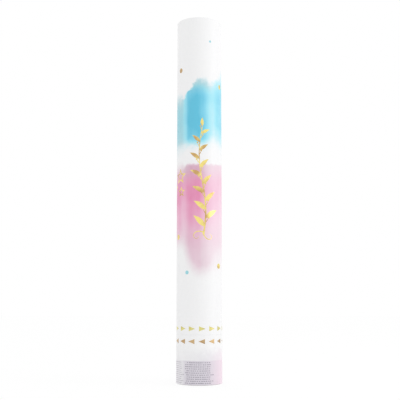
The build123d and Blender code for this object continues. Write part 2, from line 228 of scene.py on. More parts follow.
# Octaves of detail in a noise, and the range that its values mostly keep
FEW, SOME, MANY = 2.0, 3.0, 4.0
NOISE_LOW, NOISE_HIGH = 0.3, 0.7

# Sockets of the Mix node for colours: its share and two colours, and its result
MIX_INPUTS = (0, 6, 7)
MIX_RESULT = 2


class Graph:
    """Makes a material or a world and wires its nodes round its shader."""

    def __init__(self, name, *values, kind="materials", shader="Principled BSDF"):
        self.made = getattr(bpy.data, kind).new(name)
        self.made.use_nodes = True
        self.tree = self.made.node_tree
        self.shader = self.tree.nodes[shader]
        self.set(*values)
        self.place = self.add("TexCoord").outputs["Object"]

    def add(self, kind, *inputs, **settings):
        """Makes a node; inputs fill its sockets in order, and None leaves one as it is."""
        made = self.tree.nodes.new("ShaderNode" + kind)
        for key, value in settings.items():
            setattr(made, key, value)
        for socket, value in zip(made.inputs, inputs):
            self.plug(socket, value)
        return made

    def plug(self, socket, value):
        if isinstance(value, bpy.types.NodeSocket):
            self.tree.links.new(value, socket)
        elif value is not None:
            socket.default_value = value

    def set(self, *values):
        for socket, value in values:
            self.plug(self.shader.inputs[socket], value)

    def math(self, operation, *values):
        return self.add("Math", *values, operation=operation).outputs[0]

    def plus(self, first, second):
        return self.math("ADD", first, second)

    def times(self, first, second):
        return self.math("MULTIPLY", first, second)

    def polar(self):
        """The angle of a place round the tube, and its height."""
        axes = self.add("SeparateXYZ", self.place).outputs
        return self.math("ARCTAN2", axes[0], self.times(axes[1], -1.0)), axes[2]

    def stretch(self, *factors):
        """The place, scaled along its axes."""
        return self.add("VectorMath", self.place, factors, operation="MULTIPLY").outputs[0]

    def noise(self, size, detail, place=None):
        return self.add("TexNoise", place or self.place, None, 1 / size, detail).outputs[0]

    def cells(self, size):
        return self.add("TexVoronoi", self.place, None, 1 / size).outputs["Distance"]

    def span(self, value, low, high, start=0.0, end=1.0):
        """Maps a value from one range to another, with smooth ends."""
        return self.add("MapRange", value, low, high, start, end, interpolation_type="SMOOTHSTEP").outputs[0]

    def over(self, texture, start, end):
        """Maps the range that a noise mostly keeps to another range."""
        return self.span(texture, NOISE_LOW, NOISE_HIGH, start, end)

    def ramp(self, value, *stops):
        """A colour from a value, by (position, colour) stops."""
        made = self.add("ValToRGB", value)
        marks = made.color_ramp.elements
        while len(marks) < len(stops):
            marks.new(0.5)
        for mark, (position, colour) in zip(marks, stops):
            mark.position = position
            mark.color = (*colour, 1)
        return made.outputs[0]

    def shade(self, texture, first, second):
        """A colour between two, over the range that a noise mostly keeps."""
        return self.ramp(texture, (NOISE_LOW, first), (NOISE_HIGH, second))

    def curve(self, value, points):
        """A number from a value, by smooth (position, number) points from 0 to 1."""
        made = self.add("FloatCurve", 1.0, value)
        marks = made.mapping.curves[0].points
        while len(marks) < len(points):
            marks.new(0.5, 0.5)
        for mark, point in zip(marks, sorted(points)):
            mark.location = point
        made.mapping.update()
        return made.outputs[0]

    def mix(self, share, first, second, blend="MIX"):
        made = self.add("Mix", data_type="RGBA", blend_type=blend)
        for socket, value in zip(MIX_INPUTS, (share, first, second)):
            self.plug(made.inputs[socket], (*value, 1) if isinstance(value, tuple) else value)
        return made.outputs[MIX_RESULT]

    def finish(self, colour, roughness, height, distance):
        """Sets the shader's colour, roughness and bump, and gives the material."""
        bump = self.add("Bump")
        bump.inputs["Distance"].default_value = distance
        self.plug(bump.inputs["Height"], height)
        self.set(("Base Color", colour), ("Roughness", roughness), ("Normal", bump.outputs[0]))
        return self.made


def tint(colour, factor):
    return tuple(min(channel * factor, 1.0) for channel in colour)


def grained(name, colour, spread, roughness, grain=0.4 * MM, relief=0.01 * MM):
    """A plain stuff with a fine grain in its colour, gloss and surface."""
    broad_grain, gloss_spread = 12 * grain, 0.07
    graph = Graph(name)
    fine, broad = graph.noise(grain, MANY), graph.noise(broad_grain, FEW)
    both = graph.plus(graph.times(fine, 0.5), graph.times(broad, 0.5))
    shades = graph.shade(both, tint(colour, 1 - spread), tint(colour, 1 + spread))
    gloss = graph.over(both, roughness - gloss_spread, roughness + gloss_spread)
    return graph.finish(shades, gloss, fine, relief)


# Printed paper: a white coated sheet with two soft washes and a tinted foot

# Tables of the washes: (degrees round the tube, number), or (millimetres up, number) in those named UP.
# Edges and their softness are millimetres on a tube of TABLE_HEIGHT, and the rest are shares.
TABLE_HEIGHT = 400
BLUE_TOP = [
    (-180, 317), (-160, 315), (-135, 321), (-112, 314), (-85, 303.5), (-60, 302), (-46, 304.5), (-38, 309.5),
    (-30, 314), (-16, 321), (-8, 325), (4, 327.5), (16, 327), (21, 326), (26, 323.5), (32, 322.5), (37, 324),
    (43, 326.5), (60, 330), (72, 334), (84, 337.5), (98, 336.5), (110, 331), (122, 325), (134, 318),
    (152, 313), (180, 315)]
BLUE_TOP_SOFT = [
    (-180, 3), (-85, 18), (-50, 14), (-40, 5), (-16, 3), (-6, 6), (8, 8), (20, 8), (32, 7.5), (44, 5),
    (62, 8), (84, 12), (120, 4), (180, 3)]
BLUE_FOOT = [
    (-180, 258), (-140, 262), (-110, 252), (-71, 252), (-45, 254), (-30, 254), (0, 254), (25, 257),
    (42, 264), (60, 262), (82, 258), (125, 252), (160, 256), (180, 259)]
BLUE_FOOT_SOFT = [
    (-180, 8), (-72, 13), (-46, 12), (-34, 8), (18, 9), (34, 14), (60, 20), (84, 20), (130, 9), (180, 8)]
# The blue thins near -48 degrees round the tube. This is a painted highlight: a pale strip down the left of
# the tube, standing in for a gloss reflection.
BLUE_ROUND_WITH_HIGHLIGHT = [
    (-180, 0.5), (-120, 0.75), (-72, 0.6), (-48, 0.51), (-38, 0.6), (-33, 0.74), (-27, 0.96), (-6, 1.0),
    (6, 0.9), (13, 0.78), (22, 0.62), (30, 0.5), (36, 0.48), (44, 0.58), (58, 0.7), (82, 0.7), (125, 0.9),
    (180, 0.5)]
BLUE_UP = [
    (0, 0), (250, 0.3), (258, 0.6), (270, 0.92), (302, 0.99), (312, 0.95), (320, 0.8), (326, 0.62),
    (334, 0.46), (400, 0.3)]
BLUE_GREY = [(-180, 0.1), (-80, 0.16), (-52, 0.15), (-44, 0.06), (-36, 0.0), (100, 0.0), (180, 0.1)]
FRINGE_UP = [
    (0, 0), (290, 0), (300, 0), (309, 0.06), (314, 0.33), (319, 0.63), (325, 0.96), (331, 1.0), (338, 0.85),
    (400, 0.8)]
FRINGE_ROUND = [
    (-180, 0.6), (-60, 0.3), (-42, 0.4), (-28, 0.8), (-15, 0.98), (0, 1.0), (12, 1.0), (24, 0.8), (34, 0.4),
    (45, 0.05), (60, 0.0), (95, 0.0), (130, 0.4), (180, 0.6)]
FRINGE_GREY = 0.22
FRINGE_PALE = 0.38
DULL_FULL = 0.35
RIM_PIGMENT = 0.8

# How the washes wander at their edges and cloud within them
BLOTCH_SIZE = 26 * MM
RAGGED_SIZE = 5 * MM
BRUSH_SIZE = 9 * MM
BRUSH_STRETCH = 0.12
RAGGED_WANDER = 13 * MM
BLOTCH_WANDER = 8 * MM
PINK_WANDER = 0.35
BLOTCH_CLOUD = 0.6
BRUSH_CLOUD = 0.5
SPECKLE = 0.14

# The same tables for the pink wash, its mauve and the foot's tint
PINK_TOP = [
    (-180, 236), (-120, 228), (-80, 226), (-55, 227), (-40, 231), (-33, 233), (0, 233.5), (40, 233.5),
    (60, 234.5), (80, 236), (130, 240), (180, 236)]
PINK_TOP_SOFT = [
    (-180, 5), (-120, 9), (-80, 13), (-50, 12), (-40, 5), (-33, 2.4), (-26, 2.2), (0, 2.2), (30, 2.2),
    (60, 2.2), (90, 2.2), (130, 5), (180, 5)]
PINK_FOOT = [
    (-180, 140), (-120, 148), (-75, 152), (-46, 150), (-34, 139), (-24, 130), (-14, 122.5), (12, 118),
    (24, 120), (45, 130), (80, 133), (130, 132), (180, 140)]
PINK_FOOT_SOFT = [
    (-180, 14), (-75, 14), (-46, 16), (-34, 20), (-22, 15), (-10, 12), (12, 10), (24, 12), (45, 22),
    (80, 24), (120, 15), (180, 14)]
# The pink thins near -44 degrees. This is the same painted highlight strip down the left of the tube.
PINK_ROUND_WITH_HIGHLIGHT = [
    (-180, 0.6), (-130, 0.8), (-75, 0.84), (-60, 0.84), (-44, 0.68), (-34, 0.78), (-26, 0.9), (-14, 1.0),
    (-4, 0.98), (5, 0.79), (14, 0.63), (30, 0.49), (80, 0.46), (130, 0.8), (180, 0.6)]
PINK_UP = [
    (0, 0), (110, 0.3), (125, 0.4), (135, 0.42), (152, 0.52), (163, 0.61), (178, 0.76), (190, 0.92),
    (200, 1.0), (212, 1.0), (219, 0.92), (226, 0.74), (236, 0.62), (400, 0.5)]
MAUVE_UP = [
    (0, 0), (110, 0.3), (140, 0.28), (163, 0.15), (185, 0.03), (205, 0.02), (216, 0.1), (227, 0.4),
    (236, 0.45), (400, 0)]
MAUVE_ROUND = [(-180, 0.8), (-60, 0.8), (-34, 1.0), (-4, 1.0), (14, 0.7), (30, 0.4), (90, 0.25), (180, 0.8)]
# The foot's tint thins from -60 to -46 degrees. This is the same painted highlight strip down the left of the
# tube.
FOOT_ROUND_WITH_HIGHLIGHT = [
    (-180, 0.8), (-82, 0.75), (-60, 0.45), (-46, 0.5), (-34, 0.95), (20, 1.0), (60, 0.9), (90, 0.85),
    (180, 0.8)]
BLUSH_ROUND = [(-180, 0.2), (-60, 0.12), (-20, 0.2), (10, 0.42), (50, 0.55), (90, 0.5), (180, 0.2)]

# Colours and surface of the printed paper
PAPER_WHITE = (0.907, 0.907, 0.912)
GRAIN_SIZE = 0.9 * MM
GRAIN_DARK, GRAIN_LIGHT = 0.985, 1.01
PAPER_ROUGH = (0.34, 0.46)
PAPER_RELIEF = 0.012 * MM
RAGGED_RELIEF = 0.6
BLACK = (0.0, 0.0, 0.0)
BLUE_STOPS = (
    (0.0, (1, 1, 1)), (0.3, (0.62, 0.93, 1.0)), (0.55, (0.39, 0.865, 0.99)), (0.75, (0.255, 0.735, 0.93)),
    (1.0, (0.13, 0.6, 0.812)))
PINK_STOPS = (
    (0.0, (1, 1, 1)), (0.35, (1.0, 0.70, 0.83)), (0.65, (0.94, 0.475, 0.665)), (1.0, (0.86, 0.275, 0.49)))
MAUVE = (0.55, 0.86, 0.70)
FOOT_TINT = (0.775, 0.74, 0.80)
FOOT_ROSE = (0.95, 0.77, 0.87)
ROSE_FROM, ROSE_TO = radians(10), radians(75)
BLUSH_TOP, BLUSH_FULL = 40 * MM, 27 * MM
LEAST_SOFT = 1.0 * MM

# Rows of plain dashes on the tinted foot, in blocks of (first degrees, last degrees, strength)
FOOT_BAND = 25.3 * MM
ROW_FOOT = 1.3 * MM
ROW_PITCH = 2.1 * MM
ROW_COUNT = 11
ROW_FILL = 0.36
ROW_RAGGED = radians(16)
DASH_PITCH = 2.4 * MM
DASH_LEAST, DASH_MORE = 0.5, 0.4
DASH_INK = (0.43, 0.41, 0.46)
DASH_BLOCKS = ((-100, -40, 0.7), (-37, 38, 1.0))


def wash(graph, height, density, top, foot, soft_top, soft_foot):
    """How dense a wash is: full between two edges, with pigment gathered along the upper one."""

    def past(upper, lower, soft):
        """0 to 1 as the gap between two heights goes from one side of a soft edge to the other."""
        gap = graph.math("SUBTRACT", upper, lower)
        return graph.span(graph.math("DIVIDE", gap, graph.math("MAXIMUM", soft, LEAST_SOFT)), -1.0, 1.0)

    below_top = past(top, height, soft_top)
    inside = graph.times(below_top, past(height, foot, soft_foot))
    pigment = graph.times(inside, RIM_PIGMENT)
    rim = graph.times(graph.math("SUBTRACT", 1.0, below_top), pigment)
    return graph.times(graph.plus(inside, rim), density)


def dash_rows(graph, angle, height):
    """Where the foot's dashes are: rows cut into dashes of uneven length, in blocks round the tube."""
    math, times = graph.math, graph.times
    rows = math("DIVIDE", math("SUBTRACT", height, ROW_FOOT), ROW_PITCH)
    row = math("FLOOR", rows)
    in_band = math("COMPARE", row, (ROW_COUNT - 1) / 2, ROW_COUNT / 2)
    on_row = math("COMPARE", math("FRACT", rows), 0.5, ROW_FILL / 2)
    start = graph.add("TexWhiteNoise", None, row, noise_dimensions="1D").outputs["Value"]
    run = graph.plus(times(angle, paper_radius / DASH_PITCH), start)
    dash = math("FLOOR", run)
    spot = graph.add("CombineXYZ", dash, row).outputs[0]
    chance = graph.add("TexWhiteNoise", spot, noise_dimensions="2D").outputs["Value"]
    length = math("MULTIPLY_ADD", chance, DASH_MORE, DASH_LEAST)
    on_dash = math("LESS_THAN", math("FRACT", run), length)
    ink = times(on_row, on_dash)
    dash_start = times(math("SUBTRACT", dash, start), DASH_PITCH / paper_radius)
    ragged = times(start, ROW_RAGGED)
    in_block = 0.0
    for first, last, strength in DASH_BLOCKS:
        inside = math("LESS_THAN", dash_start, math("SUBTRACT", radians(last), ragged))
        inside = times(inside, math("GREATER_THAN", dash_start, radians(first)))
        in_block = math("MULTIPLY_ADD", inside, strength, in_block)
    return times(times(ink, in_block), in_band)


def printed_paper():
    """White coated paper with its washes, tinted foot and dashes."""
    graph = Graph("printed_paper", ("Specular IOR Level", 0.45))
    math, plus, times = graph.math, graph.plus, graph.times
    angle, up = graph.polar()
    angle_share = math("MULTIPLY_ADD", angle, 1 / FULL_TURN, 0.5)
    height_share = math("DIVIDE", up, popper_height)
    blotch, ragged = graph.noise(BLOTCH_SIZE, SOME), graph.noise(RAGGED_SIZE, MANY)
    grain = graph.noise(GRAIN_SIZE, FEW)
    brush = graph.noise(BRUSH_SIZE, SOME, graph.stretch(1, 1, BRUSH_STRETCH))

    def swing(texture, reach):
        """A texture made to swing to both sides of zero."""
        return times(math("SUBTRACT", texture, 0.5), reach)

    def round_tube(points, unit=1):
        """A number round the tube, from a table; unit is what counts as 1."""
        return graph.curve(angle_share, [((turn + 180) / 360, number / unit) for turn, number in points])

    def up_tube(points):
        """A number up the tube, from a table."""
        return graph.curve(height_share, [(height * MM / popper_height, number) for height, number in points])

    def edges(*tables):
        """Heights round the tube, from tables."""
        return [times(round_tube(points, TABLE_HEIGHT), popper_height) for points in tables]

    def density(round_points, up_points):
        return times(times(round_tube(round_points), up_tube(up_points)), uneven)

    wander = plus(swing(ragged, RAGGED_WANDER), swing(blotch, BLOTCH_WANDER))
    height = plus(up, wander)
    calm = math("MULTIPLY_ADD", wander, PINK_WANDER, up)
    cloud = plus(swing(blotch, BLOTCH_CLOUD), swing(brush, BRUSH_CLOUD))
    uneven = plus(plus(cloud, swing(grain, SPECKLE)), 1.0)

    fringe = times(round_tube(FRINGE_ROUND), up_tube(FRINGE_UP))
    thinned = math("MULTIPLY_ADD", fringe, -FRINGE_PALE, 1.0)
    blue_density = times(density(BLUE_ROUND_WITH_HIGHLIGHT, BLUE_UP), thinned)
    blue_edges = edges(BLUE_TOP, BLUE_FOOT, BLUE_TOP_SOFT, BLUE_FOOT_SOFT)
    blue = wash(graph, height, blue_density, *blue_edges)
    dulled = math("MULTIPLY_ADD", fringe, FRINGE_GREY, round_tube(BLUE_GREY))
    grey = times(graph.span(blue, 0.0, DULL_FULL), dulled)
    pink_edges = edges(PINK_TOP, PINK_FOOT, PINK_TOP_SOFT, PINK_FOOT_SOFT)
    pink = wash(graph, calm, density(PINK_ROUND_WITH_HIGHLIGHT, PINK_UP), *pink_edges)
    mauve = wash(graph, calm, density(MAUVE_ROUND, MAUVE_UP), *pink_edges)
    foot_colour = graph.mix(graph.span(angle, ROSE_FROM, ROSE_TO), FOOT_TINT, FOOT_ROSE)
    blush = times(graph.span(height, BLUSH_TOP, BLUSH_FULL), round_tube(BLUSH_ROUND))
    in_foot = times(math("LESS_THAN", up, FOOT_BAND), round_tube(FOOT_ROUND_WITH_HIGHLIGHT))
    glazes = ((1.0, graph.ramp(blue, *BLUE_STOPS)), (1.0, graph.ramp(pink, *PINK_STOPS)),
              (mauve, MAUVE), (grey, BLACK), (math("MAXIMUM", in_foot, blush), foot_colour),
              (dash_rows(graph, angle, up), DASH_INK))
    sheet = graph.shade(grain, tint(PAPER_WHITE, GRAIN_DARK), tint(PAPER_WHITE, GRAIN_LIGHT))
    for share, glaze in glazes:
        sheet = graph.mix(share, sheet, glaze, "MULTIPLY")
    relief = plus(grain, times(ragged, RAGGED_RELIEF))
    return graph.finish(sheet, graph.over(blotch, *PAPER_ROUGH), relief, PAPER_RELIEF)


def gold_foil(name, sweep_size, deep, bright):
    """Stamped foil: broad sweeps from a deep to a bright gold, and a finely uneven gloss."""
    deep_at, bright_at, fine_size, rough = 0.34, 0.56, 0.5 * MM, (0.2, 0.36)
    relief, sweep_relief = 0.02 * MM, 4.0
    graph = Graph(name, ("Metallic", 1.0))
    sweep, fine = graph.noise(sweep_size, FEW), graph.noise(fine_size, SOME)
    shades = graph.ramp(sweep, (deep_at, deep), (bright_at, bright))
    height = graph.plus(fine, graph.times(sweep, sweep_relief))
    return graph.finish(shades, graph.over(fine, *rough), height, relief)


def wound_card():
    """Grey-brown card: fibres, plies at the cut edge and the spiral joint of the winding in the bore."""
    fibre_size, mottle_size, spiral_pitch, relief = 0.35 * MM, 6 * MM, 62 * MM, 0.05 * MM
    fibre_shades, rough = ((0.25, (0.42, 0.37, 0.29)), (0.75, (0.60, 0.54, 0.44))), (0.78, 0.92)
    mottle_share, mottle_shades = 0.35, ((0.45, 0.40, 0.32), (0.62, 0.56, 0.46))
    ply_line, ply_shade = (0.86, 0.98, 0.0, 0.4), (0.25, 0.21, 0.16)
    joint_line, joint_shade = (0.975, 0.99, 0.0, 0.5), (0.28, 0.24, 0.18)
    graph = Graph("wound_card")
    angle, up = graph.polar()
    reach = graph.add("VectorMath", graph.stretch(1, 1, 0), operation="LENGTH").outputs["Value"]
    fibre, mottle = graph.noise(fibre_size, MANY), graph.noise(mottle_size, SOME)
    ply = graph.math("FRACT", graph.math("DIVIDE", reach, CARD_WALL / PLY_COUNT))
    turns, climb = graph.math("DIVIDE", angle, FULL_TURN), graph.math("DIVIDE", up, spiral_pitch)
    spiral = graph.math("FRACT", graph.plus(turns, climb))
    card = graph.ramp(fibre, *fibre_shades)
    card = graph.mix(mottle_share, card, graph.shade(mottle, *mottle_shades))
    card = graph.mix(graph.span(ply, *ply_line), card, ply_shade)
    card = graph.mix(graph.span(spiral, *joint_line), card, joint_shade)
    height = graph.plus(fibre, graph.times(mottle, 0.5))
    return graph.finish(card, graph.over(fibre, *rough), height, relief)


def tissue():
    """Thin pale tissue; each round differs a little."""
    shades = ((0.0, (0.99, 0.73, 0.83)), (0.5, (0.99, 0.80, 0.88)), (1.0, (0.99, 0.87, 0.93)))
    fibre_size, fibre_line, fibre_shade = 0.6 * MM, (0.35, 0.65, 0.0, 0.3), (0.99, 0.90, 0.94)
    roughness, relief = 0.75, 0.03 * MM
    graph = Graph("tissue", ("Specular IOR Level", 0.2))
    each = graph.add("NewGeometry").outputs["Random Per Island"]
    fibre = graph.noise(fibre_size, MANY)
    pale = graph.mix(graph.span(fibre, *fibre_line), graph.ramp(each, *shades), fibre_shade)
    return graph.finish(pale, roughness, fibre, relief)


def lid_foil():
    """Crinkled matt foil on card."""
    crinkle_size, crinkle_relief, fine_size, fine_relief = 3.2 * MM, 0.7, 0.7 * MM, 0.2
    shades, rough, relief = ((0.74, 0.73, 0.72), (0.86, 0.85, 0.84)), (0.26, 0.42), 0.06 * MM
    graph = Graph("lid_foil", ("Metallic", 0.85))
    crinkle, fine = graph.cells(crinkle_size), graph.noise(fine_size, SOME)
    height = graph.plus(graph.times(crinkle, crinkle_relief), graph.times(fine, fine_relief))
    return graph.finish(graph.shade(fine, *shades), graph.over(fine, *rough), height, relief)


def open_foam():
    """White open-celled foam, with painted shade darkening its cell hollows."""
    cell_size, coarse_size, relief = 0.8 * MM, 1.7 * MM, 0.3 * MM
    # The darker of the two colours is painted shade, set where the foam sinks into its cells.
    shades, rough_line = ((0.02, (0.66, 0.65, 0.63)), (0.3, (0.86, 0.85, 0.83))), (0.0, 0.6, 0.98, 0.86)
    graph = Graph("open_foam", ("Specular IOR Level", 0.2))
    cell, coarse = graph.cells(cell_size), graph.cells(coarse_size)
    hollow_and_shade = graph.times(cell, coarse)
    return graph.finish(graph.ramp(hollow_and_shade, *shades), graph.span(cell, *rough_line), hollow_and_shade, relief)


def drawn_metal(name, colour, roughness, stretch):
    """Bright metal with fine drawing or turning lines, drawn out along the axis where stretch is small."""
    line_size, line_share, line_tint, relief = 0.25 * MM, 0.18, 0.75, 0.008 * MM
    stain_size, stain_dark, stain_light = 9 * MM, 0.92, 1.04
    smoother, rougher = 0.06, 0.1
    graph = Graph(name, ("Metallic", 1.0))
    lines = graph.noise(line_size, SOME, graph.stretch(1, 1, stretch))
    stain = graph.noise(stain_size, SOME)
    stained = graph.shade(stain, tint(colour, stain_dark), tint(colour, stain_light))
    lined = graph.mix(graph.over(lines, 0.0, line_share), stained, tint(colour, line_tint))
    gloss = graph.over(lines, roughness - smoother, roughness + rougher)
    return graph.finish(lined, gloss, lines, relief)


materials = {
    "paper": printed_paper(),
    "gold": gold_foil("gold_foil", 11 * MM, (0.60, 0.38, 0.16), (0.93, 0.78, 0.26)),
    "pale_gold": gold_foil("pale_gold_foil", 7 * MM, (0.54, 0.46, 0.18), (0.75, 0.69, 0.27)),
    "deep_gold": gold_foil("deep_gold_foil", 7 * MM, (0.44, 0.285, 0.15), (0.60, 0.42, 0.225)),
    "teal": grained("teal_ink", (0.33, 0.66, 0.72), 0.1, 0.45, 0.5 * MM),
    "card": wound_card(),
    "tissue": tissue(),
    "lid": lid_foil(),
    "foam": open_foam(),
    "cap": grained("cap_plastic", (0.82, 0.82, 0.81), 0.03, 0.42),
    "core": grained("core_plastic", (0.70, 0.71, 0.72), 0.04, 0.4),
    "rotor": grained("rotor_plastic", (0.10, 0.20, 0.36), 0.06, 0.42),
    "plunger": grained("plunger_plastic", (0.78, 0.73, 0.63), 0.04, 0.3),
    "fibre": grained("red_fibre", (0.30, 0.10, 0.06), 0.18, 0.6, 0.3 * MM, 0.03 * MM),
    "rubber": grained("seal_rubber", (0.03, 0.03, 0.032), 0.15, 0.62, 0.2 * MM),
    "board": grained("grey_board", (0.34, 0.31, 0.27), 0.2, 0.86, relief=0.05 * MM),
    "aluminium": drawn_metal("drawn_aluminium", (0.80, 0.81, 0.83), 0.3, 0.05),
    "brass": drawn_metal("turned_brass", (0.80, 0.60, 0.28), 0.24, 6),
    "steel": drawn_metal("spring_steel", (0.60, 0.61, 0.63), 0.28, 0.3),
}

node_materials = {
    "twist_core": "core", "bottle_spacer": "core", "spring_plug": "core", "thrust_washer": "fibre",
    "retaining_clip": "steel", "cross_pin": "steel", "air_bottle": "aluminium", "bottle_nozzle": "brass",
    "cam_rotor": "rotor", "plunger": "plunger", "plunger_seal": "rubber", "pusher_disc": "board",
}
for node, stuff in node_materials.items():
    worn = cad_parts[node].data.materials
    worn.clear()
    worn.append(materials[stuff])


# Paper sheets and card tubes


def paper_sheet(low, high):
    """A sheet rolled round the tube, with its butt seam down the back."""
    inner, eased = paper_radius - PAPER_THICKNESS, paper_radius - PAPER_EDGE
    outline = [(inner, low), (eased, low), (paper_radius, low + PAPER_EDGE / 2),
               (paper_radius, high - PAPER_EDGE / 2), (eased, high), (inner, high)]
    return lathe(outline, seam=PAPER_SEAM / 2 / paper_radius)


def ply_rim(foot, top):
    """Outline of a card tube, with the plies of the winding showing at its upper rim."""
    bore = tube_radius - CARD_WALL
    ply = CARD_WALL / PLY_COUNT
    shoulder, crown = 0.15 * ply, 0.35 * ply
    outline = [(bore, foot), (bore, top - CARD_EDGE)]
    for i in range(PLY_COUNT):
        outer_ply = i in (0, PLY_COUNT - 1)
        rim = top - (CARD_EDGE / 2 if outer_ply else PLY_STEP * (i % 2))
        eased = rim - PLY_GROOVE / 3
        left, right = bore + i * ply, bore + (i + 1) * ply
        outline += [(left + shoulder, eased), (left + crown, rim)]
        outline += [(right - crown, rim), (right - shoulder, eased)]
        if i < PLY_COUNT - 1:
            outline.append((right, rim - PLY_GROOVE))
    return outline + [(tube_radius, top - CARD_EDGE), (tube_radius, foot)]


barrel_sheet = paper_sheet(split_height + PAPER_MEET / 2, barrel_high.z)
handle_sheet = paper_sheet(handle_low.z, split_height - PAPER_MEET / 2)
piece("barrel_paper", barrel_sheet, "paper", "barrel", ["barrel_wrap"])
piece("handle_paper", handle_sheet, "paper", "handle", ["handle_wrap"])
sleeve_ends = sleeve_low.z + sleeve_high.z
sleeve_outline = [(radius, sleeve_ends - height) for radius, height in ply_rim(sleeve_low.z, sleeve_high.z)]
piece("barrel_card", lathe(ply_rim(tube_low.z, tube_high.z)), "card", "barrel", ["barrel_tube"])
piece("handle_card", lathe(sleeve_outline), "card", "handle", ["handle_sleeve"])


# Foil and ink: thin stamped bands that follow the round of the paper


def band(path, half_widths):
    """Left and right edges of a flat band along (across, up) points of the unrolled sheet."""
    edges = []
    for i, (point, half) in enumerate(zip(path, half_widths)):
        before, after = path[max(i - 1, 0)], path[min(i + 1, len(path) - 1)]
        way = Vector((after[0] - before[0], after[1] - before[1])).normalized()
        side = Vector((-way.y, way.x)) * half
        edges.append((Vector(point) + side, Vector(point) - side))
    return edges


def stamp(bands, turn=0.0):
    """Closed thin shapes on the paper from bands of the unrolled sheet, turned round the tube.
    Neighbours lie in different layers, so no two share a face."""
    shapes = []
    for layer, edges in enumerate(bands):
        step = FOIL_LAYER * (layer % FOIL_LAYERS)
        outer, inner = paper_radius + FOIL_PROUD + step, paper_radius - FOIL_SUNK - step
        columns = ceil(max((left - right).length for left, right in edges) / FOIL_COLUMN)
        there = [(i, outer) for i in range(columns + 1)]
        back = [(i, inner) for i in range(columns, -1, -1)]
        verts = []
        for left, right in edges:
            for i, radius in there + back:
                spot = left.lerp(right, i / columns)
                verts.append(on_tube(turn + spot.x / paper_radius, radius, spot.y))
        shapes.append((verts, rod_faces(len(edges), len(there + back))))
    return joined(shapes)


def arrow(across, up, way):
    """A plain arrowhead, way +1 pointing to the right and -1 to the left."""
    steps, blunt = 8, 0.004
    shares = [i / steps for i in range(steps + 1)]
    path = [(across + way * (share - 0.5) * ARROW_LENGTH, up) for share in shares]
    return band(path, [ARROW_WIDTH / 2 * max(1 - share, blunt) for share in shares])


def dot(across, up, radius):
    """A round dot."""
    steps, blunt = 16, 0.02
    turns = [pi * i / steps for i in range(steps + 1)]
    path = [(across - radius * cos(turn), up) for turn in turns]
    return band(path, [radius * max(sin(turn), blunt) for turn in turns])


def trail(foot, length, turns):
    """Points of a line from its foot in even steps, each on its own heading."""
    path, spot = [], Vector(foot)
    for turn in turns:
        path.append(tuple(spot))
        spot += Vector((sin(turn), cos(turn))) * length / (len(turns) - 1)
    return path


def leaf(foot, heading, length, width, bend):
    """A slender leaf that leaves its foot on a heading and bends as it goes."""
    steps, blunt, fullness = 12, 0.03, 0.8
    path = trail(foot, length, [heading + bend * i / steps for i in range(steps + 1)])
    swell = [sin(pi * (i / steps) ** fullness) for i in range(steps + 1)]
    return band(path, [width / 2 * max(share, blunt) for share in swell])


def curl(foot, heading, length, width, turns):
    """A tendril that winds up on itself, thick to thin."""
    steps, taper = 40, 0.75
    path = trail(foot, length, [heading + FULL_TURN * turns * (i / steps) ** 2 for i in range(steps + 1)])
    return band(path, [width / 2 * (1 - taper * i / steps) for i in range(steps + 1)])


def star(across, up, reach):
    """A filled star, as kite-shaped bands from its centre."""
    half_point, blunt = pi / STAR_POINTS, 0.01 * reach
    waist_half = reach * STAR_WAIST * sin(half_point)
    shoulder = reach * STAR_WAIST * cos(half_point)
    spots = [0.0, shoulder / 2, shoulder, (shoulder + reach) / 2, reach]
    halves = [blunt, waist_half / 2, waist_half, waist_half / 2, blunt]
    bands = []
    for turn in STAR_TURNS:
        way = Vector((sin(turn), cos(turn)))
        bands.append(band([tuple(Vector((across, up)) + way * spot) for spot in spots], halves))
    return bands


def ring_star(across, up, reach, width):
    """A star drawn in line, as bent bands whose corners are mitred."""
    steps, half_point, waist = 4, pi / STAR_POINTS, STAR_WAIST
    side = reach * sqrt(1 + waist ** 2 - 2 * waist * cos(half_point))
    centre_to_side = reach ** 2 * waist * sin(half_point) / side
    grow = width / 2 / centre_to_side

    def corner(turn, far):
        return Vector((far * sin(turn), far * cos(turn)))

    centre = Vector((across, up))
    bands = []
    for turn in STAR_TURNS:
        tip = corner(turn, reach)
        before, after = corner(turn - half_point, reach * waist), corner(turn + half_point, reach * waist)
        line = [before.lerp(tip, s / steps) for s in range(steps)]
        line += [tip.lerp(after, s / steps) for s in range(steps + 1)]
        bands.append([(centre + spot * (1 + grow), centre + spot * (1 - grow)) for spot in line])
    return bands


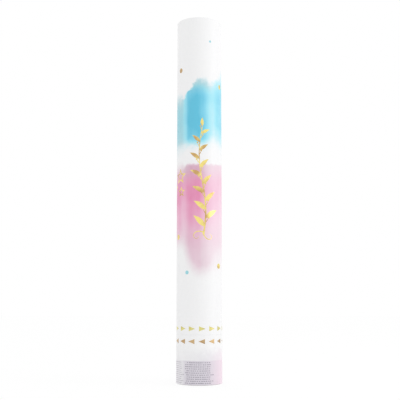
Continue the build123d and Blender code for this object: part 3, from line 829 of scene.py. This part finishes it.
def sprig():
    """A branch: swaying stem, leaves to each side in turn, berries on stalks, and curls at its foot."""
    steps, near = 60, 0.01
    sway_waves, sway_start = 0.95, 0.3
    stem_taper, leaf_taper, leaf_bend = 0.6, 0.42, 0.35
    first_leaf, leaf_run = 0.07, 0.86
    stalk_ahead, stalk_angle, stalk_bend = 0.035, 0.8, 0.3
    top_heading, top_length, top_width, top_bend = -0.1, 0.55, 0.6, 0.2
    curls = ((0.02, -75, 22 * MM, -0.8), (0.0, 150, 17 * MM, -0.7))

    def stem_spot(share):
        across = SPRIG_SWAY * sin(FULL_TURN * sway_waves * share + sway_start) + SPRIG_ACROSS
        return Vector((across, SPRIG_FOOT + (SPRIG_TOP - SPRIG_FOOT) * share))

    stem = [tuple(stem_spot(i / steps)) for i in range(steps + 1)]
    bands = [band(stem, [STEM_WIDTH / 2 * (1 - stem_taper * i / steps) for i in range(steps + 1)])]
    for i in range(LEAF_COUNT):
        share = first_leaf + leaf_run * i / (LEAF_COUNT - 1)
        side = 1 if i % 2 else -1
        ahead = stem_spot(share + near) - stem_spot(share - near)
        along = atan2(ahead.x, ahead.y)
        size = 1 - leaf_taper * share
        heading = along + side * LEAF_ANGLE
        bands.append(leaf(stem_spot(share), heading, LEAF_LENGTH * size, LEAF_WIDTH * size, side * leaf_bend))
        heading = along - side * LEAF_ANGLE * stalk_angle
        bud = stem_spot(share + stalk_ahead)
        stalk = leaf(bud, heading, STALK_LENGTH * size, STALK_WIDTH, side * stalk_bend)
        tip = (stalk[-1][0] + stalk[-1][1]) / 2
        bands += [stalk, dot(tip.x, tip.y, BERRY_RADIUS * size)]
    top_size = (LEAF_LENGTH * top_length, LEAF_WIDTH * top_width)
    bands.append(leaf(stem_spot(1.0), top_heading, *top_size, top_bend))
    for share, degrees, length, turns in curls:
        bands.append(curl(stem_spot(share), radians(degrees), length, CURL_WIDTH, turns))
    bands.append(dot(*stem_spot(near), BERRY_RADIUS))
    return bands


def arrow_row(first, height, way):
    """Arrows all round, left out where one would lie across the paper's seam."""
    pitch, half = FULL_TURN / ARROW_COUNT, ARROW_LENGTH / 2 / paper_radius
    turns = [remainder(first + i * pitch, FULL_TURN) for i in range(ARROW_COUNT)]
    return [arrow(turn * paper_radius, height, way) for turn in turns if abs(turn) + half < pi]


def at(degrees, height, radius):
    """Place and size of a dot or star, from degrees round the tube and millimetres."""
    return radians(degrees) * paper_radius, height * MM, radius * MM


BACK_SPRIG_TURN = radians(126)
BACK_STARS_TURN = radians(-74)
LARGE_STAR_LINE = 1.2 * MM
SMALL_STAR_LINE = 1.0 * MM
DOTS = {
    "deep_dots": ("deep_gold", [(-55, 341.5, 2.7), (112, 352, 2.6), (172, 140, 2.6)]),
    "pale_dots": ("gold", [
        (65, 323.5, 2.6), (-66, 156, 2.9), (57.5, 124.5, 2.8), (-128, 300, 2.4), (-150, 96, 2.3)]),
    "teal_dots": ("teal", [
        (29, 372.7, 1.3), (-32, 117.5, 2.1), (140, 98, 1.6), (-105, 360, 1.6), (-160, 236, 1.4)]),
}
stars = ring_star(*at(-56, 222, 7.4), LARGE_STAR_LINE)
stars += ring_star(*at(-52, 205, 4.8), SMALL_STAR_LINE)
stars += star(*at(-76, 211, 2.4))


def printed(name, bands, stuff, body="barrel", turn=0.0):
    """A stamped piece of the print."""
    piece(name, stamp(bands, turn), stuff, body)


printed("upper_arrows", arrow_row(UPPER_ARROWS_ANGLE, UPPER_ARROWS_HEIGHT, 1), "pale_gold")
printed("lower_arrows", arrow_row(LOWER_ARROWS_ANGLE, LOWER_ARROWS_HEIGHT, -1), "deep_gold", "handle")
for name, (stuff, places) in DOTS.items():
    printed(name, [dot(*at(*place)) for place in places], stuff)
printed("front_sprig", sprig(), "gold")
printed("back_sprig", sprig(), "gold", turn=BACK_SPRIG_TURN)
printed("side_stars", stars, "gold")
printed("back_stars", stars, "gold", turn=BACK_STARS_TURN)


# Muzzle lid and base cap

BOX_FACES = ((0, 1, 3, 2), (4, 5, 7, 6), (0, 1, 5, 4), (2, 3, 7, 6), (0, 2, 6, 4), (1, 3, 7, 5))


def lid_shape():
    """A pressed cup: pleated skirt, rounded corner and a raised ring in its face."""
    sheet, bend = 0.6 * MM, 0.6 * MM
    bead, bead_half, bead_rise, bead_steps = 14 * MM, 1.2 * MM, 0.9 * MM, 12
    skirt_rows, face_rows, round_steps = (0.75, 0.5, 0.3), (0.75, 0.5, 0.25), 336
    pleat_count, pleat_depth, pleat_sway, sway_count = 48, 0.16 * MM, 1.5, 5
    crinkle, crinkle_scale = 0.05 * MM, 320
    outer, face = lid_high.x, lid_low.z + sheet
    inner = outer - sheet
    shares = [i / bead_steps for i in range(bead_steps + 1)]
    ring = [(bead + bead_half * (1 - 2 * share), face + bead_rise * sin(pi * share)) for share in shares]
    lip = lid_high.z - sheet / 3
    outline = [(0, lid_low.z), *arc((outer - bend - sheet, lid_low.z + bend + sheet), bend + sheet, -90, 0),
               (outer, lip), (outer - sheet / 2, lid_high.z), (inner, lip)]
    outline += [(inner, face + (lid_high.z - face) * share) for share in skirt_rows]
    outline += [*arc((inner - bend, face + bend), bend, 0, -90), *ring]
    outline += [(bead * share, face) for share in face_rows] + [(0, face)]

    def pleat(angle, radius, height):
        if radius < inner - bend or height < face:
            lift = crinkle * noise.noise(on_tube(angle, radius, height) * crinkle_scale)
            return radius, height + (lift if height > face - WELD and radius > 0 else 0.0)
        rise = smooth_step((height - face) / (lid_high.z - face))
        wave = 0.5 + 0.5 * cos(pleat_count * angle + pleat_sway * sin(sway_count * angle))
        return radius - pleat_depth * rise * wave * (1 if radius < outer - sheet / 4 else 0), height

    return lathe(outline, steps=round_steps, shift=pleat)


def cap_shape():
    """A moulded plug with eased edges, a dished underside, a centre boss with its gate mark, and ribs."""
    ease, fine, fine_steps, floor, wall = 0.6 * MM, 0.25 * MM, 3, 2.0 * MM, 1.6 * MM
    dish, dish_depth, boss, gate = 15.5 * MM, 0.7 * MM, 4.0 * MM, 0.9 * MM
    rib_count, rib_half, rib_rise = 8, 0.7 * MM, 2.2 * MM
    outer, low, high = cap_high.x, cap_low.z, cap_high.z
    dished, inside = low + dish_depth, low + floor
    outline = [(0, low + fine), (gate - fine, low + fine), (gate, low),
               *arc((boss - fine, low + fine), fine, -90, 0, fine_steps),
               *arc((boss + fine, dished - fine), fine, 180, 90, fine_steps),
               *arc((dish - fine, dished - fine), fine, 90, 0, fine_steps),
               *arc((dish + fine, low + fine), fine, 180, 270, fine_steps),
               *arc((outer - ease, low + ease), ease, -90, 0), *arc((outer - ease, high - ease), ease, 0, 90),
               (outer - wall, high), (outer - wall, inside), (0, inside)]
    ribs = []
    for i in range(rib_count):
        turn = FULL_TURN * i / rib_count
        way, side = Vector((cos(turn), sin(turn), 0)), Vector((-sin(turn), cos(turn), 0))
        corners = [way * reach + side * across + Vector((0, 0, height))
                   for reach in (boss, outer - wall / 2) for across in (-rib_half, rib_half)
                   for height in (low + floor / 2, inside + rib_rise)]
        ribs.append((corners, BOX_FACES))
    return joined([lathe(outline), *ribs])


piece("lid_cup", lid_shape(), "lid", "charge", ["muzzle_lid"])
piece("foot_plug", cap_shape(), "cap", "handle", ["base_cap"])


# Charge: foam and tissue


def foam_shape():
    """A cut foam plug: eased edges and a slightly uneven skin."""
    ease, ease_steps, rows, face_rows, round_steps = 1.0 * MM, 4, 10, (0.35, 0.7), 144
    dent_depth, dent_scale = 0.18 * MM, 420
    outline = [(0, foam_low.z)]
    outline += [(charge_radius * share, foam_low.z) for share in face_rows]
    outline += arc((charge_radius - ease, foam_low.z + ease), ease, -90, 0, ease_steps)
    side = foam_high.z - foam_low.z - 2 * ease
    outline += [(charge_radius, foam_low.z + ease + side * i / rows) for i in range(1, rows)]
    outline += arc((charge_radius - ease, foam_high.z - ease), ease, 0, 90, ease_steps)
    outline += [(charge_radius * share, foam_high.z) for share in reversed(face_rows)] + [(0, foam_high.z)]

    def uneven(angle, radius, height):
        dent = dent_depth * (0.5 + 0.5 * noise.noise(on_tube(angle, radius, height) * dent_scale))
        return (radius - dent if radius > charge_radius / 2 else radius), height

    return lathe(outline, steps=round_steps, shift=uneven)


def round_faces(rings, steps):
    """Faces of a thin closed round: both its sides from the middle outwards, then its rim."""
    half, rim = 1 + rings * steps, 1 + (rings - 1) * steps
    sides = [(j, (j + 1) % steps) for j in range(steps)]
    faces = []
    for base in (0, half):
        for j, k in sides:
            faces.append((base, base + 1 + j, base + 1 + k))
            for inner in range(base + 1, base + rim, steps):
                outer = inner + steps
                faces.append((inner + j, outer + j, outer + k, inner + k))
    return faces + [(rim + j, half + rim + j, half + rim + k, rim + k) for j, k in sides]


def confetti_shape():
    """Thin tissue rounds packed in the bore, their edges bent down where they drag on the wall.
    One lean and bend moves them all, and each curls a little by itself."""
    random.seed(TISSUE_SEED)
    end_gap, rings, steps = 0.4 * MM, (0.6, 0.85, 1.0), 18
    slope, slope_waves, slope_start, slope_turns = 0.27, 1.1, 0.6, 0.55
    ripple_height, ripple_across, ripple_up = 0.9 * MM, 110, 9
    drag_mean, drag_swing, drag_across, drag_up, drag_start = 0.75, 0.5, 70, 7, 3
    bend_from, bend_over, curl_from = 0.66, 0.4, 0.5
    lean_ends, bend_ends, curl_ends = 0.16, 0.1, 0.04
    turn_spread, least_size = 0.25, 0.975
    wall_gaps, edge_curls = (0.1 * MM, 2.2 * MM), (-0.3 * MM, 0.5 * MM)
    low, high = heap_low.z + end_gap, heap_high.z - end_gap
    turns = [FULL_TURN * j / steps for j in range(steps)]
    spots = [(0, 0, 0)] + [(ring, cos(turn), sin(turn)) for ring in rings for turn in turns]
    faces = round_faces(len(rings), steps)

    def lean(x, y, share):
        hold = smooth_step(min(share, 1 - share) / lean_ends)
        tilt = slope * sin(FULL_TURN * slope_waves * share + slope_start)
        heading = FULL_TURN * slope_turns * share
        crest = noise.noise(Vector((x * ripple_across, y * ripple_across, share * ripple_up)))
        grip = noise.noise(Vector((x * drag_across, y * drag_across, share * drag_up + drag_start)))
        ripple, drag = ripple_height * crest, drag_mean + drag_swing * grip
        bend = TISSUE_BEND * drag * smooth_step((hypot(x, y) / charge_radius - bend_from) / bend_over)
        rise = (x * cos(heading) + y * sin(heading)) * tilt + ripple
        return hold * rise - bend * smooth_step(share / bend_ends)

    shapes = []
    for i in range(TISSUE_COUNT):
        share = (i + 0.5) / TISSUE_COUNT
        level = low + (high - low) * share
        turn = i * TISSUE_TURN + random.uniform(-turn_spread, turn_spread)
        size = TISSUE_RADIUS * random.uniform(least_size, 1.0)
        off = charge_radius - size - random.uniform(*wall_gaps)
        curl_up, curl_way = random.uniform(*edge_curls), random.uniform(0, FULL_TURN)
        centre = Vector((off * cos(turn), off * sin(turn)))
        hold = smooth_step(min(share, 1 - share) / curl_ends)

        def lifted(x, y, sign):
            away = Vector((x, y)) - centre
            fold = (away.x * cos(curl_way) + away.y * sin(curl_way)) / size
            outside = smooth_step((hypot(x, y) / charge_radius - curl_from) / (1 - curl_from))
            rise = lean(x, y, share) + curl_up * fold * fold * outside * hold
            return Vector((x, y, level + rise + sign * TISSUE_THICKNESS / 2))

        verts = [lifted(centre.x + ring * size * x, centre.y + ring * size * y, sign)
                 for sign in (1, -1) for ring, x, y in spots]
        shapes.append((verts, faces))
    return joined(shapes)


foam = piece("foam_plug", foam_shape(), "foam", "charge", ["pusher_foam"])
piece("tissue_rounds", confetti_shape(), "tissue", "charge", ["confetti"], sharp=TISSUE_SHARP)


# Plunger spring


def spring_shape():
    """A round wire wound with closed end turns and open turns between them."""
    per_turn, sides = 48, 12
    coil_radius = spring_high.x - WIRE_RADIUS
    foot, top = spring_low.z + WIRE_RADIUS, spring_high.z - WIRE_RADIUS
    open_rise = (top - foot - 2 * SPRING_END_RISE) / (SPRING_TURNS - 2)
    rows = per_turn * SPRING_TURNS + 1

    def spot(i):
        turns = min(max(i / per_turn, 0), SPRING_TURNS)
        rise = SPRING_END_RISE * min(turns, 1) + open_rise * min(max(turns - 1, 0), SPRING_TURNS - 2)
        rise += SPRING_END_RISE * max(turns - SPRING_TURNS + 1, 0)
        angle = FULL_TURN * i / per_turn
        return Vector((coil_radius * cos(angle), coil_radius * sin(angle), foot + rise))

    verts = []
    for i in range(rows):
        way = (spot(i + 0.5) - spot(i - 0.5)).normalized()
        out = Vector((spot(i).x, spot(i).y, 0)).normalized()
        up = way.cross(out).normalized()
        for j in range(sides):
            turn = FULL_TURN * j / sides
            verts.append(spot(i) + (out * cos(turn) + up * sin(turn)) * WIRE_RADIUS)
    return verts, rod_faces(rows, sides)


spring = piece("coil_spring", spring_shape(), "steel", "valve", ["plunger_spring"])
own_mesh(spring)


# Stage, light and camera

FLOOR_SIZE = 6.0
FLOOR_WHITE = (0.93, 0.93, 0.93)
FLOOR_ROUGHNESS = 0.9
FLOOR_GLOW_SHARE = 0.8
FLOOR_GLOW = 1.022
AMBIENT = 0.95


def seen_ray(graph):
    """1 for rays that the camera or a shiny or clear surface sends out, 0 for those that only carry light."""
    rays = graph.add("LightPath").outputs
    seen = graph.math("MAXIMUM", rays["Is Camera Ray"], rays["Is Glossy Ray"])
    return graph.math("MAXIMUM", seen, rays["Is Transmission Ray"])


def build_floor():
    """A plain pale floor that glows a little where it is seen, and keeps the object's shadow."""
    half = FLOOR_SIZE / 2
    corners = [(-half, -half, 0), (half, -half, 0), (half, half, 0), (-half, half, 0)]
    mesh = bpy.data.meshes.new("floor")
    mesh.from_pydata(corners, [], [(0, 1, 2, 3)])
    made = in_scene("floor", mesh)
    graph = Graph("floor_white", ("Base Color", (*FLOOR_WHITE, 1)), ("Roughness", FLOOR_ROUGHNESS))
    glow = graph.add("Emission", None, FLOOR_GLOW).outputs[0]
    share = graph.times(seen_ray(graph), FLOOR_GLOW_SHARE)
    both = graph.add("MixShader", share, graph.shader.outputs[0], glow).outputs[0]
    graph.plug(graph.tree.nodes["Material Output"].inputs["Surface"], both)
    mesh.materials.append(graph.made)


def build_world():
    """White all round where it is seen, and even light from every side."""
    graph = Graph("studio", ("Color", (1, 1, 1, 1)), kind="worlds", shader="Background")
    graph.set(("Strength", graph.span(seen_ray(graph), 0.0, 1.0, AMBIENT)))
    scene.world = graph.made


CAMERA_PLACE = (0.0008, -0.8153, 0.0907)
CAMERA_PITCH = radians(7.509)
CAMERA_LENS = 66.8
CAMERA_SENSOR = 36
KEY_PLACE = (0.95, -0.28, 0.36)
KEY_TARGET = (0, 0, 0.2)
KEY_SIZE = (0.6, 1.0)
KEY_POWER = 1.8

build_floor()
build_world()

lamp = bpy.data.lights.new("key", "AREA")
lamp.shape = "RECTANGLE"
lamp.size, lamp.size_y = KEY_SIZE
lamp.energy = KEY_POWER
key = in_scene("key", lamp)
key.location = KEY_PLACE
key.rotation_euler = (Vector(KEY_TARGET) - Vector(KEY_PLACE)).to_track_quat("-Z", "Y").to_euler()

camera = bpy.data.cameras.new("camera")
camera.lens = CAMERA_LENS
camera.sensor_width = CAMERA_SENSOR
viewer = in_scene("camera", camera)
viewer.location = CAMERA_PLACE
viewer.rotation_euler = (pi / 2 + CAMERA_PITCH, 0, 0)
bpy.context.scene.camera = viewer
scene.view_settings.view_transform = "Standard"
